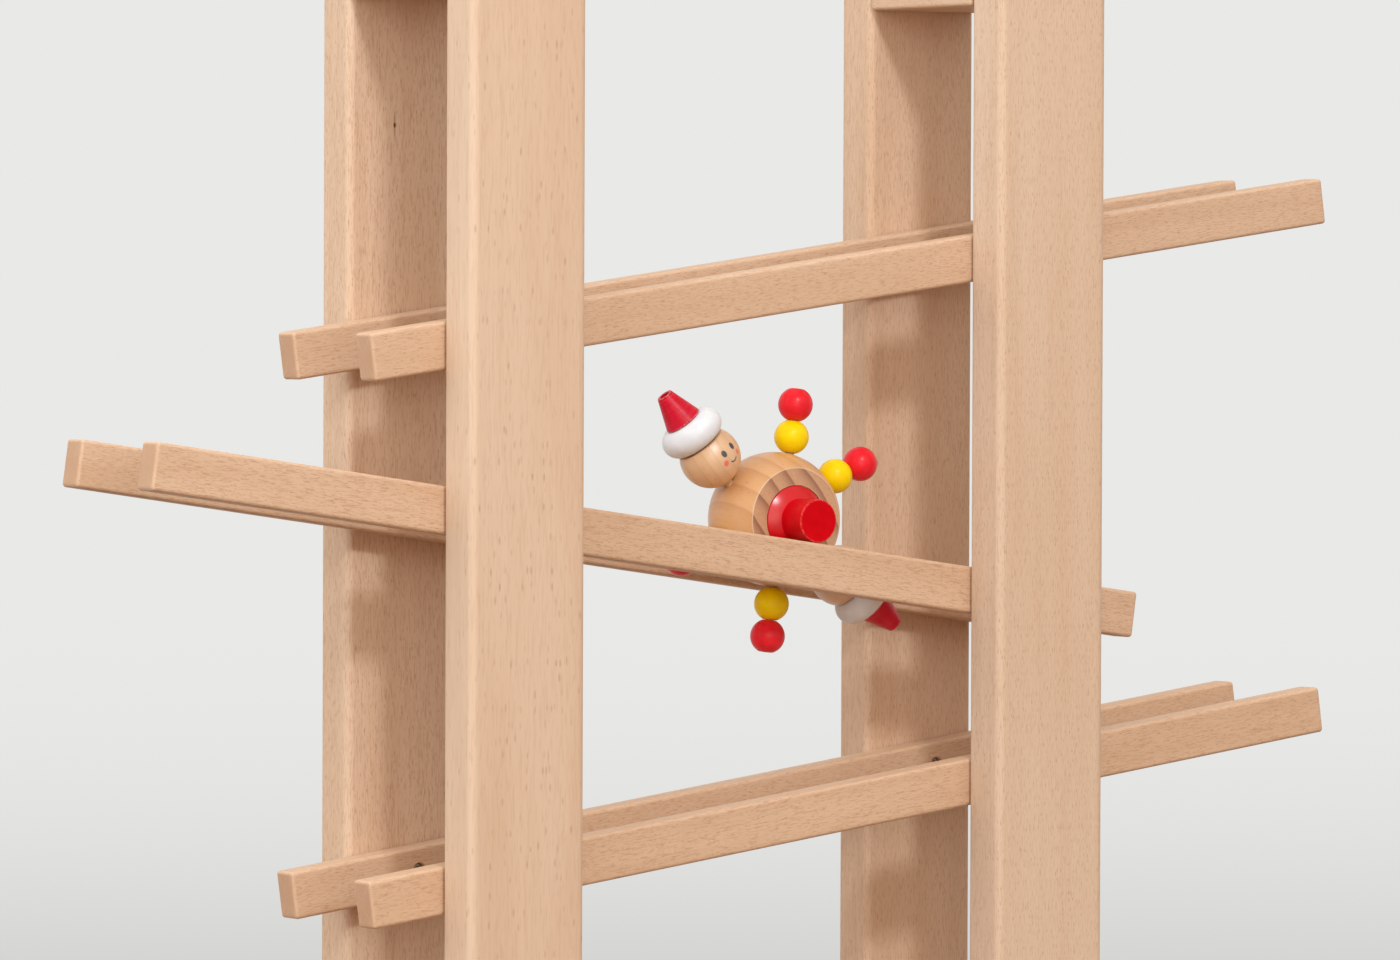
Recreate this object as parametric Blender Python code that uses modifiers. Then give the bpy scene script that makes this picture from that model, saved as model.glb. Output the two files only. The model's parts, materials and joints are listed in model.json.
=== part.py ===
"""Wooden tumbler run: a beech tower of zig-zag tracks, and a turned figure that rolls down them.

Units are metres. X runs along the tracks, Y from front to back and Z up. The origin lies on the
floor, under the middle of the tower.
"""
import math

import bmesh
import bpy
from mathutils import Matrix

# Fits
SEAT_GAP = 0.0003
MERGE_DISTANCE = 0.00001
OVERCUT = 0.002

# Uprights, feet and top spacers
UPRIGHT_WIDTH = 0.056
UPRIGHT_THICKNESS = 0.023
UPRIGHT_SPACING = 0.266
UPRIGHT_EDGE = 0.003
FOOT_SHOULDER = 0.009
FOOT_LENGTH = 0.220
FOOT_HEIGHT = 0.026
FOOT_HOUSING_DEPTH = 0.012
SPACER_THICKNESS = 0.013
SPACER_EDGE = 0.0015

# Tracks
TRACK_COUNT = 4
TRACK_PITCH = 0.113
TRACK_SLOPE = math.radians(8.0)
LOWEST_TRACK_HEIGHT = 0.120
TOP_TRACK_HEADROOM = 0.114
RAIL_THICKNESS = 0.013
RAIL_HEIGHT = 0.020
RAIL_GAP = 0.050
RAIL_EDGE = 0.0015
LOW_END_OVERHANG = 0.035
HIGH_END_OVERHANG = 0.135

# Screws
SCREW_HEAD_DIAMETER = 0.0062
SCREW_HEAD_HEIGHT = 0.0028
SCREW_HEAD_RIM = 0.0006
SCREW_SHANK_DIAMETER = 0.0035
SCREW_TIP_LENGTH = 0.003
SCREW_RECESS = 0.002
RAIL_SCREW_COVER = 0.007
SPACER_SCREW_BITE = 0.022

# Figure's barrel and axle
FIGURE_TRACK = 1
FIGURE_POSITION = 0.0285
BARREL_DIAMETER = 0.058
BARREL_CROWN = 0.0065
BARREL_WIDTH = 0.0342
HUB_DIAMETER = 0.0295
HUB_RECESS = 0.0008
HUB_RIM = 0.0003
HUB_DOME_RADIUS = 0.027
PEG_DIAMETER = 0.0185
PEG_BEARING = 0.0093
PEG_EDGE = 0.0006
AXLE_DOWEL_DIAMETER = 0.008
AXLE_END_WALL = 0.005

# Figure's limbs and heads, with the directions drilled round the axle, from +X towards +Z
LIMB_ANGLES = (math.radians(75.9), math.radians(29.9), math.radians(268.2), math.radians(199.0))
LIMB_LEANS = (math.radians(5.9), math.radians(-8.2), math.radians(-6.4), 0.0)
HEAD_ANGLES = (math.radians(140.9), math.radians(324.3))
HEAD_LEANS = (math.radians(-12.5), math.radians(-3.9))
HEAD_SIDE_LEANS = (math.radians(-6.2), math.radians(7.1))
DOWEL_DIAMETER = 0.004
DOWEL_SEAT = 0.012
BORE_RIM = 0.0007
BEAD_DIAMETER = 0.015
BEAD_HOLE_DEPTH = 0.0008
HEAD_DIAMETER = 0.0264
BRIM_SEAT_INSET = 0.00225
BRIM_DIAMETER = 0.0284
BRIM_THICKNESS = 0.0122
HAT_BASE_DIAMETER = 0.0168
HAT_TIP_RIM = 0.0012
HAT_LENGTH = 0.0141
HAT_HOLE_DEPTH = 0.004

# Facets
SCREW_STEPS = 8
DOWEL_STEPS = 12
BEAD_STEPS = 14
HEAD_STEPS = 20
BARREL_STEPS = 28
EDGE_SEGMENTS = 2

# Sizes that follow from the ones above
SEAT_BORE_RADIUS = DOWEL_DIAMETER / 2 + SEAT_GAP
AXLE_BORE_RADIUS = AXLE_DOWEL_DIAMETER / 2 + SEAT_GAP
BARREL_RADIUS = BARREL_DIAMETER / 2
PEG_RADIUS = PEG_DIAMETER / 2
HALF_SPAN = (UPRIGHT_SPACING + UPRIGHT_WIDTH) / 2
RAIL_OUTER_Y = RAIL_GAP / 2 + RAIL_THICKNESS
UPRIGHT_INNER_Y = RAIL_OUTER_Y + SEAT_GAP
UPRIGHT_OUTER_Y = UPRIGHT_INNER_Y + UPRIGHT_THICKNESS
UPRIGHT_Y = (UPRIGHT_INNER_Y + UPRIGHT_OUTER_Y) / 2
UPRIGHT_BASE = FOOT_HEIGHT - FOOT_HOUSING_DEPTH + SEAT_GAP
SPACER_BASE = LOWEST_TRACK_HEIGHT + (TRACK_COUNT - 1) * TRACK_PITCH + TOP_TRACK_HEADROOM
UPRIGHT_TOP = SPACER_BASE + SPACER_THICKNESS
COLUMNS = {"left": -UPRIGHT_SPACING / 2, "right": UPRIGHT_SPACING / 2}
ROWS = {"front": -1, "back": 1}
FACE_FRONT = Matrix.Rotation(math.radians(90), 4, "X")
FACE_BACK = Matrix.Rotation(math.radians(-90), 4, "X")

# Clear the scene and make the collections
for leftover in list(bpy.data.objects):
    bpy.data.objects.remove(leftover)
PARTS = bpy.data.collections.new("tumbler_run")
CUTTERS = bpy.data.collections.new("cutters")
bpy.context.scene.collection.children.link(PARTS)
bpy.context.scene.collection.children.link(CUTTERS)


def finish(name, colour, roughness, metallic=0.0):
    """Make a plain material."""
    material = bpy.data.materials.new(name)
    material.use_nodes = True
    shader = material.node_tree.nodes["Principled BSDF"]
    shader.inputs["Base Color"].default_value = (*colour, 1.0)
    shader.inputs["Roughness"].default_value = roughness
    shader.inputs["Metallic"].default_value = metallic
    return material


BEECH = finish("oiled_beech", (0.70, 0.47, 0.30), 0.5)
TURNED_WOOD = finish("lacquered_wood", (0.73, 0.42, 0.19), 0.35)
DOWEL_WOOD = finish("birch_dowel", (0.74, 0.55, 0.36), 0.6)
RED = finish("red_lacquer", (0.58, 0.006, 0.02), 0.25)
YELLOW = finish("yellow_lacquer", (0.93, 0.66, 0.0), 0.25)
WHITE = finish("white_lacquer", (0.88, 0.88, 0.85), 0.25)
STEEL = finish("steel", (0.45, 0.43, 0.40), 0.4, metallic=1.0)


def add_part(name, mesh, material, place, parent=None):
    """Add a mesh as a named part at a place in its parent's frame."""
    part = bpy.data.objects.new(name, mesh)
    part.data.materials.append(material)
    part.parent = parent
    part.matrix_basis = place
    PARTS.objects.link(part)
    return part


def box_mesh(name, size):
    """Make a box centred on its origin."""
    mesh = bpy.data.meshes.new(name)
    shape = bmesh.new()
    bmesh.ops.create_cube(shape, size=1.0, matrix=Matrix.Diagonal((*size, 1.0)))
    shape.to_mesh(mesh)
    shape.free()
    return mesh


def board(name, size, edge, place):
    """Add a beech board with rounded edges, centred on its place."""
    part = add_part(name, box_mesh(name, size), BEECH, place)
    rounding = part.modifiers.new("rounded_edges", "BEVEL")
    rounding.width = edge
    rounding.segments = EDGE_SEGMENTS
    return part


def rod_mesh(name, radius, low, high):
    """Make a round rod along Z from one height to another."""
    mesh = bpy.data.meshes.new(name)
    shape = bmesh.new()
    bmesh.ops.create_cone(shape, cap_ends=True, segments=DOWEL_STEPS, radius1=radius, radius2=radius,
                          depth=high - low, matrix=Matrix.Translation((0, 0, (low + high) / 2)))
    shape.to_mesh(mesh)
    shape.free()
    return mesh


def turned(name, profile, steps, material, place, parent=None, bored=False):
    """Add a solid turned about Z from (radius, height) points that run down its outer side."""
    points = [(radius, 0.0, height) for radius, height in profile]
    edges = [(index, index + 1) for index in range(len(points) - 1)]
    if bored:
        edges.append((len(points) - 1, 0))
    mesh = bpy.data.meshes.new(name)
    mesh.from_pydata(points, edges, [])
    part = add_part(name, mesh, material, place, parent)
    turning = part.modifiers.new("turned", "SCREW")
    turning.steps = steps
    turning.render_steps = steps
    turning.use_merge_vertices = True
    turning.merge_threshold = MERGE_DISTANCE
    turning.use_smooth_shade = True
    return part


def turned_mesh(name, profile, steps):
    """Make a turned solid's mesh for a cutter."""
    pattern = turned(name, profile, steps, STEEL, Matrix.Identity(4))
    bpy.context.view_layer.update()
    graph = bpy.context.evaluated_depsgraph_get()
    mesh = bpy.data.meshes.new_from_object(pattern.evaluated_get(graph))
    bpy.data.objects.remove(pattern)
    return mesh


def group_mesh(name, copies):
    """Join copies of meshes, each a (mesh, place) pair, into one cutter's mesh."""
    shape = bmesh.new()
    for mesh, place in copies:
        copy = bmesh.new()
        copy.from_mesh(mesh)
        bmesh.ops.transform(copy, matrix=place, verts=copy.verts)
        placed = bpy.data.meshes.new(name)
        copy.to_mesh(placed)
        copy.free()
        shape.from_mesh(placed)
        bpy.data.meshes.remove(placed)
    joined = bpy.data.meshes.new(name)
    shape.to_mesh(joined)
    shape.free()
    return joined


def cut(part, copies):
    """Cut holes out of a part, each a (mesh, place) pair in the frame of the part's parent."""
    cutter = bpy.data.objects.new(part.name + "_holes", group_mesh(part.name + "_holes", copies))
    cutter.parent = part.parent
    cutter.hide_render = True
    cutter.display_type = "WIRE"
    CUTTERS.objects.link(cutter)
    holes = part.modifiers.new("holes", "BOOLEAN")
    holes.operation = "DIFFERENCE"
    holes.solver = "EXACT"
    holes.object = cutter


def arc(centre, radius, start, end, count):
    """Points of an arc in a turned profile, from one angle above the radius axis to another."""
    points = []
    for index in range(count + 1):
        angle = start + (end - start) * index / count
        points.append((centre[0] + radius * math.cos(angle), centre[1] + radius * math.sin(angle)))
    return points


def screw_profiles(length):
    """Profiles of a countersunk screw and of its hole, with the wood's face at zero height."""
    head = SCREW_HEAD_DIAMETER / 2
    shank = SCREW_SHANK_DIAMETER / 2
    top = -SCREW_RECESS
    solid = [
        (0, top),
        (head, top),
        (head, top - SCREW_HEAD_RIM),
        (shank, top - SCREW_HEAD_HEIGHT),
        (shank, top - length + SCREW_TIP_LENGTH),
        (0, top - length),
    ]
    hole = [
        (0, OVERCUT),
        (head + SEAT_GAP, OVERCUT),
        (head + SEAT_GAP, top - SCREW_HEAD_RIM),
        (shank + SEAT_GAP, top - SCREW_HEAD_HEIGHT - SEAT_GAP),
        (shank + SEAT_GAP, top - length - SEAT_GAP),
        (0, top - length - SEAT_GAP),
    ]
    return solid, hole


# Screws: lengths follow from the wood that each one passes and its bite in the next piece
rail_screw_bite = UPRIGHT_THICKNESS - RAIL_SCREW_COVER
RAIL_SCREW, rail_hole = screw_profiles(RAIL_THICKNESS + SEAT_GAP + rail_screw_bite - SCREW_RECESS)
SPACER_SCREW, spacer_hole = screw_profiles(UPRIGHT_THICKNESS + SEAT_GAP + SPACER_SCREW_BITE - SCREW_RECESS)
RAIL_SCREW_HOLE = turned_mesh("rail_screw_hole", rail_hole, SCREW_STEPS)
SPACER_SCREW_HOLE = turned_mesh("spacer_screw_hole", spacer_hole, SCREW_STEPS)


def high_side(track):
    """Side of a track's high end: +1 on the right for the top track, then by turns."""
    return 1 if track % 2 == 0 else -1


def track_frame(track):
    """Frame of a track: origin at mid-length on its running line, X to the right along the slope."""
    height = LOWEST_TRACK_HEIGHT + (TRACK_COUNT - 1 - track) * TRACK_PITCH
    slope = Matrix.Rotation(-high_side(track) * TRACK_SLOPE, 4, "Y")
    return Matrix.Translation((0, 0, height)) @ slope


def rail_ends(track):
    """Low and high end of a track's rails, along the slope from mid-length."""
    side = high_side(track)
    low = -side * (HALF_SPAN + LOW_END_OVERHANG) / math.cos(TRACK_SLOPE)
    high = side * (HALF_SPAN + HIGH_END_OVERHANG) / math.cos(TRACK_SLOPE)
    return low, high


def rail_screw_place(track, column, row):
    """Place of the screw where a rail crosses an upright, on the rail's inner face."""
    shift = high_side(track) * RAIL_HEIGHT / 2 * math.sin(TRACK_SLOPE)
    along = (COLUMNS[column] - shift) / math.cos(TRACK_SLOPE)
    centre = track_frame(track) @ Matrix.Translation((along, 0, -RAIL_HEIGHT / 2))
    facing = FACE_BACK if row == "front" else FACE_FRONT
    point = (centre.translation.x, ROWS[row] * RAIL_GAP / 2, centre.translation.z)
    return Matrix.Translation(point) @ facing


def spacer_screw_place(column, row):
    """Place of the screw through an upright's outer face into the end of a top spacer."""
    point = (COLUMNS[column], ROWS[row] * UPRIGHT_OUTER_Y, SPACER_BASE + SPACER_THICKNESS / 2)
    return Matrix.Translation(point) @ (FACE_FRONT if row == "front" else FACE_BACK)


# Uprights, each housed in a foot and carrying one rail of every track
for row, side in ROWS.items():
    for column, x in COLUMNS.items():
        upright = board(
            f"upright_{row}_{column}",
            (UPRIGHT_WIDTH, UPRIGHT_THICKNESS, UPRIGHT_TOP - UPRIGHT_BASE),
            UPRIGHT_EDGE,
            Matrix.Translation((x, side * UPRIGHT_Y, (UPRIGHT_TOP + UPRIGHT_BASE) / 2)))
        holes = [(RAIL_SCREW_HOLE, rail_screw_place(track, column, row)) for track in range(TRACK_COUNT)]
        holes.append((SPACER_SCREW_HOLE, spacer_screw_place(column, row)))
        cut(upright, holes)

# Feet across the tower, with a housing for each upright's lower end
HOUSING = box_mesh("housing", (
    UPRIGHT_WIDTH + 2 * SEAT_GAP,
    UPRIGHT_THICKNESS + 2 * SEAT_GAP,
    FOOT_HOUSING_DEPTH + OVERCUT))
foot_width = UPRIGHT_WIDTH + 2 * FOOT_SHOULDER
housing_height = FOOT_HEIGHT + (OVERCUT - FOOT_HOUSING_DEPTH) / 2
for column, x in COLUMNS.items():
    foot = board(f"foot_{column}", (foot_width, FOOT_LENGTH, FOOT_HEIGHT), UPRIGHT_EDGE,
                 Matrix.Translation((x, 0, FOOT_HEIGHT / 2)))
    places = [Matrix.Translation((x, side * UPRIGHT_Y, housing_height)) for side in ROWS.values()]
    cut(foot, [(HOUSING, place) for place in places])

# Top spacers, which hold the front and back uprights apart
for column, x in COLUMNS.items():
    spacer = board(f"top_spacer_{column}", (UPRIGHT_WIDTH, 2 * RAIL_OUTER_Y, SPACER_THICKNESS), SPACER_EDGE,
                   Matrix.Translation((x, 0, SPACER_BASE + SPACER_THICKNESS / 2)))
    cut(spacer, [(SPACER_SCREW_HOLE, spacer_screw_place(column, row)) for row in ROWS])

# Rails, two to a track
for track in range(TRACK_COUNT):
    low, high = rail_ends(track)
    for row, side in ROWS.items():
        across = side * (RAIL_GAP + RAIL_THICKNESS) / 2
        middle = Matrix.Translation(((low + high) / 2, across, -RAIL_HEIGHT / 2))
        rail = board(f"rail_{track + 1}_{row}", (abs(high - low), RAIL_THICKNESS, RAIL_HEIGHT), RAIL_EDGE,
                     track_frame(track) @ middle)
        cut(rail, [(RAIL_SCREW_HOLE, rail_screw_place(track, column, row)) for column in COLUMNS])

# Screws of the tower
for row in ROWS:
    for column in COLUMNS:
        for track in range(TRACK_COUNT):
            turned(f"rail_screw_{track + 1}_{row}_{column}", RAIL_SCREW, SCREW_STEPS, STEEL,
                   rail_screw_place(track, column, row))
        turned(f"spacer_screw_{row}_{column}", SPACER_SCREW, SCREW_STEPS, STEEL,
               spacer_screw_place(column, row))

# Figure's frame: an empty on the axle's line, with the pegs on the rails
FIGURE = bpy.data.objects.new("figure_axle_line", None)
axle_point = track_frame(FIGURE_TRACK) @ Matrix.Translation((FIGURE_POSITION, 0, PEG_RADIUS + SEAT_GAP))
FIGURE.location = axle_point.translation
PARTS.objects.link(FIGURE)

# Barrel: a ball cut flat at both faces, bored for the axle dowel, with a shallow recess for each hub
half_width = BARREL_WIDTH / 2
hub_radius = HUB_DIAMETER / 2
hub_seat = half_width - HUB_RECESS
recess_radius = hub_radius + SEAT_GAP
recess = [(AXLE_BORE_RADIUS, hub_seat), (recess_radius, hub_seat), (recess_radius, half_width)]
side_radius = (half_width ** 2 + BARREL_CROWN ** 2) / (2 * BARREL_CROWN)
side_angle = math.atan2(half_width, side_radius - BARREL_CROWN)
barrel_profile = recess + arc((BARREL_RADIUS - side_radius, 0), side_radius, side_angle, -side_angle, 10)
barrel_profile += [(radius, -height) for radius, height in reversed(recess)]
barrel = turned("barrel", barrel_profile, BARREL_STEPS, TURNED_WOOD, FACE_FRONT, FIGURE, bored=True)

# Axle: a dowel through the barrel and a turned end on each side, whose domed hub seats in the barrel's recess
hub_face = hub_seat + SEAT_GAP
rim_angle = math.acos(hub_radius / HUB_DOME_RADIUS)
peg_angle = math.acos(PEG_RADIUS / HUB_DOME_RADIUS)
dome_centre = (0, HUB_RIM - HUB_DOME_RADIUS * math.sin(rim_angle))
end_length = RAIL_GAP / 2 + PEG_BEARING - hub_face
bore_end = end_length - AXLE_END_WALL
axle_profile = [
    (0, end_length),
    (PEG_RADIUS - PEG_EDGE, end_length),
    (PEG_RADIUS, end_length - PEG_EDGE),
    *arc(dome_centre, HUB_DOME_RADIUS, peg_angle, rim_angle, 4),
    (hub_radius, 0),
    (AXLE_BORE_RADIUS, 0),
    (AXLE_BORE_RADIUS, bore_end),
    (0, bore_end),
]
for row, facing in (("front", FACE_FRONT), ("back", FACE_BACK)):
    turned(f"axle_end_{row}", axle_profile, HEAD_STEPS, RED,
           facing @ Matrix.Translation((0, 0, hub_face)), FIGURE)
dowel_end = hub_face + bore_end - SEAT_GAP
add_part("axle_dowel", rod_mesh("axle_dowel", AXLE_DOWEL_DIAMETER / 2, -dowel_end, dowel_end),
         DOWEL_WOOD, FACE_FRONT, FIGURE)


def spoke(angle, distance=0.0):
    """Place on a spoke of the figure: Z points out from the axle at an angle from +X towards +Z."""
    return Matrix.Rotation(math.pi / 2 - angle, 4, "Y") @ Matrix.Translation((0, 0, distance))


def leaning(angle, lean, side, radius):
    """Place of a ball that just clears the barrel on a spoke, leaned in the figure's plane and forward."""
    flat = math.asin(rim_radius / radius)
    clear = radius * math.cos(max(0, flat - math.hypot(lean, side)))
    return (spoke(angle, BARREL_RADIUS + SEAT_GAP + clear)
            @ Matrix.Rotation(-lean, 4, "Y") @ Matrix.Rotation(side, 4, "X"))


# Necks and limbs: each leans off its spoke about the centre of the ball next to the barrel
rim_radius = SEAT_BORE_RADIUS + BORE_RIM
head_radius = HEAD_DIAMETER / 2
head_foot = math.sqrt(head_radius ** 2 - rim_radius ** 2)
bead_radius = BEAD_DIAMETER / 2
bead_half = math.sqrt(bead_radius ** 2 - rim_radius ** 2)
NECKS = {letter: leaning(angle, lean, side, head_radius)
         for letter, angle, lean, side in zip("ab", HEAD_ANGLES, HEAD_LEANS, HEAD_SIDE_LEANS)}
LIMBS = [leaning(angle, lean, 0, bead_radius) for angle, lean in zip(LIMB_ANGLES, LIMB_LEANS)]

# Drilled seats of the limb and neck dowels round the barrel
limb_foot = -bead_half - SEAT_GAP - DOWEL_SEAT
neck_foot = -head_foot - SEAT_GAP - DOWEL_SEAT
LIMB_HOLE = rod_mesh("limb_hole", SEAT_BORE_RADIUS, limb_foot - SEAT_GAP, OVERCUT - bead_half)
NECK_HOLE = rod_mesh("neck_hole", SEAT_BORE_RADIUS, neck_foot - SEAT_GAP, OVERCUT - head_foot)
cut(barrel, [(LIMB_HOLE, limb) for limb in LIMBS] + [(NECK_HOLE, neck) for neck in NECKS.values()])

# Limbs: a yellow and a red bead threaded on a dowel
bead_angle = math.asin(bead_half / bead_radius)
bead_profile = [(SEAT_BORE_RADIUS, bead_half)]
bead_profile += arc((0, 0), bead_radius, bead_angle, -bead_angle, 8)
bead_profile.append((SEAT_BORE_RADIUS, -bead_half))
bead_step = 2 * bead_half + SEAT_GAP
limb_end = bead_step + bead_half - BEAD_HOLE_DEPTH
for number, limb in enumerate(LIMBS, start=1):
    add_part(f"limb_{number}_dowel", rod_mesh("limb_dowel", DOWEL_DIAMETER / 2, limb_foot, limb_end),
             DOWEL_WOOD, limb, FIGURE)
    turned(f"limb_{number}_inner_bead", bead_profile, BEAD_STEPS, YELLOW, limb, FIGURE, bored=True)
    turned(f"limb_{number}_outer_bead", bead_profile, BEAD_STEPS, RED,
           limb @ Matrix.Translation((0, 0, bead_step)), FIGURE, bored=True)

# Heads: a ball with a flat foot, and a flat crown where the brim seats
head_crown = math.sqrt(head_radius ** 2 - (head_radius - BRIM_SEAT_INSET) ** 2)
head_profile = [(SEAT_BORE_RADIUS, head_crown)]
head_profile += arc((0, 0), head_radius, math.asin(head_crown / head_radius),
                    -math.asin(head_foot / head_radius), 10)
head_profile.append((SEAT_BORE_RADIUS, -head_foot))

# Hat brims: a ring with a full round edge
brim_half = BRIM_THICKNESS / 2
brim_profile = [(SEAT_BORE_RADIUS, brim_half)]
brim_profile += arc((BRIM_DIAMETER / 2 - brim_half, 0), brim_half, math.pi / 2, -math.pi / 2, 8)
brim_profile.append((SEAT_BORE_RADIUS, -brim_half))
brim_centre = head_crown + SEAT_GAP + brim_half

# Hats: a cut cone, open at its tip where the neck dowel ends
hat_profile = [
    (SEAT_BORE_RADIUS, HAT_LENGTH),
    (SEAT_BORE_RADIUS + HAT_TIP_RIM, HAT_LENGTH),
    (HAT_BASE_DIAMETER / 2, 0),
    (SEAT_BORE_RADIUS, 0),
]
hat_base = brim_centre + brim_half + SEAT_GAP
neck_end = hat_base + HAT_LENGTH - HAT_HOLE_DEPTH

for letter, neck in NECKS.items():
    add_part(f"neck_dowel_{letter}", rod_mesh("neck_dowel", DOWEL_DIAMETER / 2, neck_foot, neck_end),
             DOWEL_WOOD, neck, FIGURE)
    turned(f"head_{letter}", head_profile, HEAD_STEPS, TURNED_WOOD, neck, FIGURE, bored=True)
    turned(f"hat_brim_{letter}", brim_profile, HEAD_STEPS, WHITE,
           neck @ Matrix.Translation((0, 0, brim_centre)), FIGURE, bored=True)
    turned(f"hat_{letter}", hat_profile, HEAD_STEPS, RED,
           neck @ Matrix.Translation((0, 0, hat_base)), FIGURE, bored=True)
bpy.context.view_layer.update()
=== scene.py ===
"""A wooden tumbler run: a screwed beech tower of zig-zag tracks, and a turned figure that rolls down them.

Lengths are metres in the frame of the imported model: X to the right along the tracks, Y to the back, Z up.
"""
import json
import math

import bpy
import numpy as np
from mathutils import Matrix, Vector


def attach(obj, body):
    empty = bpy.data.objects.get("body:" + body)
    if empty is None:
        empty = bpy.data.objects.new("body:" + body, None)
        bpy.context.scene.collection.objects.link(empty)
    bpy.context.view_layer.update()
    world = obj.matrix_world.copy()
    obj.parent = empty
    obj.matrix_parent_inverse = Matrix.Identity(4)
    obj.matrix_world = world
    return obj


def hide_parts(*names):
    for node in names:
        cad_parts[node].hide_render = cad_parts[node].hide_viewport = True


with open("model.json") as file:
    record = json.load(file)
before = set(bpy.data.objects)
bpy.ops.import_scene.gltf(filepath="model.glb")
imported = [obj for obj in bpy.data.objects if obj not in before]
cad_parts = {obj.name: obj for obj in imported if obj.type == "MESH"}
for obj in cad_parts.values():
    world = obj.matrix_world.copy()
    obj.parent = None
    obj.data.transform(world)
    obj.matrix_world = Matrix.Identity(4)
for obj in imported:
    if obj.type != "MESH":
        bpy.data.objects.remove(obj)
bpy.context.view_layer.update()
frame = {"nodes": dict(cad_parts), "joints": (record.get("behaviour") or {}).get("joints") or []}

# Uprights: four planed beech planks with well rounded long edges, oiled, glued into the feet.
# Near the top of each outer face a sunk wood screw goes through into the end of a spacer board.
# The back left plank has a pin knot in its inner face.
UPRIGHT_LENGTH = 0.5717
UPRIGHT_WIDTH = 0.056
UPRIGHT_THICKNESS = 0.023
UPRIGHT_EDGE = 0.0035
UPRIGHT_END_EDGE = 0.0015
UPRIGHT_X = 0.133
UPRIGHT_Y = 0.0498
UPRIGHT_BASE = 0.0143
SPACER_SCREW_DROP = 0.0065
SCREW_HOLE = {"radius": 0.0032, "depth": 0.0034, "patch": 0.0045}
HOLE_REACHES = (0, 0.35, 0.7, 1, 1, 1, 1, 1, 0)
HOLE_LIPS = (0, 0, 0, 0, 0, 0.0001, 0.0003, 0.0007, 0)
HOLE_DEPTHS = (1, 1, 1, 1, 0.25, 0.05, 0, 0, 0)
PIN_KNOT = (0.219, -0.0055, -UPRIGHT_THICKNESS / 2)
NO_KNOT = (9.0, 0.0, 0.0)
CORNER_STEPS = 8
SUPPORT = 0.0004
END_RING = 0.95
HOLE_STEPS = 16
BOARD_SHIFTS = ((0, -12, -12), (4000, 12, 12))
MILLIMETRES = 1000
COLUMNS = {"left": -1, "right": 1}
ROWS = {"front": -1, "back": 1}
chance = np.random.default_rng(20)


def srgb(red, green, blue):
    """Linear colour of three display values from 0 to 255."""
    shares = np.array((red, green, blue)) / 255
    linear = np.where(shares < 0.04045, shares / 12.92, ((shares + 0.055) / 1.055) ** 2.4)
    return (*linear.tolist(), 1.0)


def add_node(tree, kind, inputs=None, **settings):
    """Add a shader node; an input given as a socket is linked, and any other input is set."""
    node = tree.nodes.new(kind)
    for key, value in settings.items():
        setattr(node, key, value)
    for key, value in (inputs or {}).items():
        if isinstance(value, bpy.types.NodeSocket):
            tree.links.new(value, node.inputs[key])
        else:
            node.inputs[key].default_value = value
    return node


def maths(tree, operation, first, second=0.0, third=0.0):
    """Add a Math node and give its result."""
    return add_node(tree, "ShaderNodeMath", {0: first, 1: second, 2: third}, operation=operation).outputs[0]


def stretched(tree, position, along, across):
    """A position whose first axis is scaled by one number and the others by another."""
    return add_node(tree, "ShaderNodeVectorMath", {0: position, 1: (along, across, across)},
                    operation="MULTIPLY").outputs[0]


def ramp(tree, value, low, high, start=0.0, end=1.0):
    """A smooth step of a value, from start at low to end at high."""
    return add_node(tree, "ShaderNodeMapRange", {0: value, 1: low, 2: high, 3: start, 4: end},
                    interpolation_type="SMOOTHSTEP").outputs[0]


def blended(tree, share, first, second):
    """A colour mixed from two by a share."""
    return add_node(tree, "ShaderNodeMix", {0: share, 6: first, 7: second}, data_type="RGBA").outputs[2]


def mark_of(tree, name, kind="Fac"):
    """A mark that the mesh carries at its points: a value, or a position if the kind is Vector."""
    return add_node(tree, "ShaderNodeAttribute", attribute_name=name).outputs[kind]


def new_material(name):
    """A new material, its nodes and its Principled shader."""
    material = bpy.data.materials.new(name)
    material.use_nodes = True
    return material, material.node_tree, material.node_tree.nodes["Principled BSDF"]


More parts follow.
